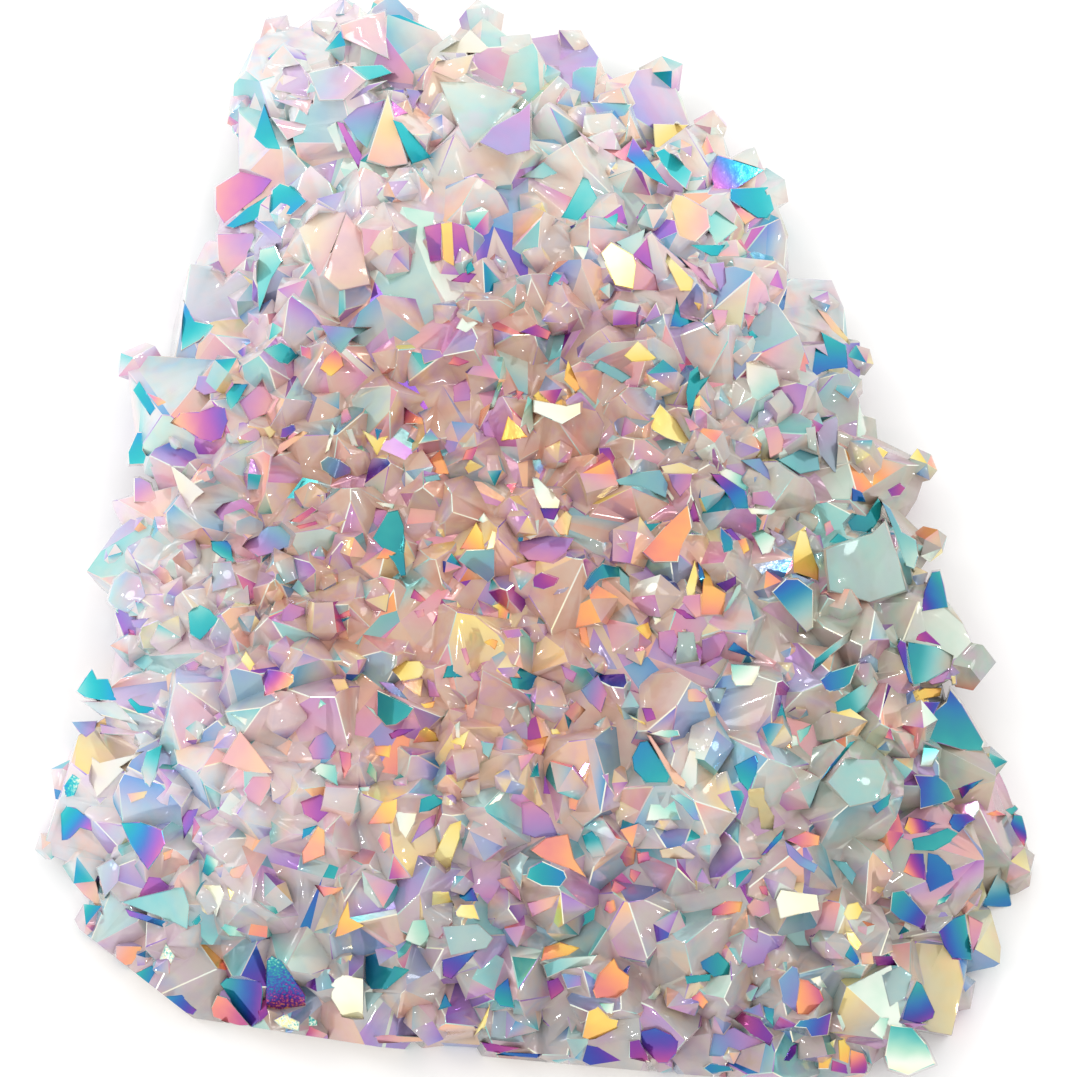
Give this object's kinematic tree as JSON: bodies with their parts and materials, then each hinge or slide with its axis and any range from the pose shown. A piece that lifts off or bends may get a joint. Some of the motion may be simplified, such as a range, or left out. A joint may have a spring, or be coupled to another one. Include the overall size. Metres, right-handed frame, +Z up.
{
  "type": "quartz crystal cluster",
  "caption": "Low, rounded-triangle cluster of short, tightly packed quartz points with an iridescent coat, cut off flat below so that it lies with the points upwards.",
  "frame": {"origin": "on the flat cut that the cluster rests on, at the middle of its bounding box", "axes": "+Z up from the cut through the points, +Y from the wide end to the narrow end, +X to the right for someone who looks at the wide end"},
  "size_m": [0.1124, 0.1374, 0.0289],
  "materials": {
    "quartz": "polished, iridescent"
  },
  "bodies": {
    "root": {"quartz_cluster": "quartz"}
  },
  "joints": []
}
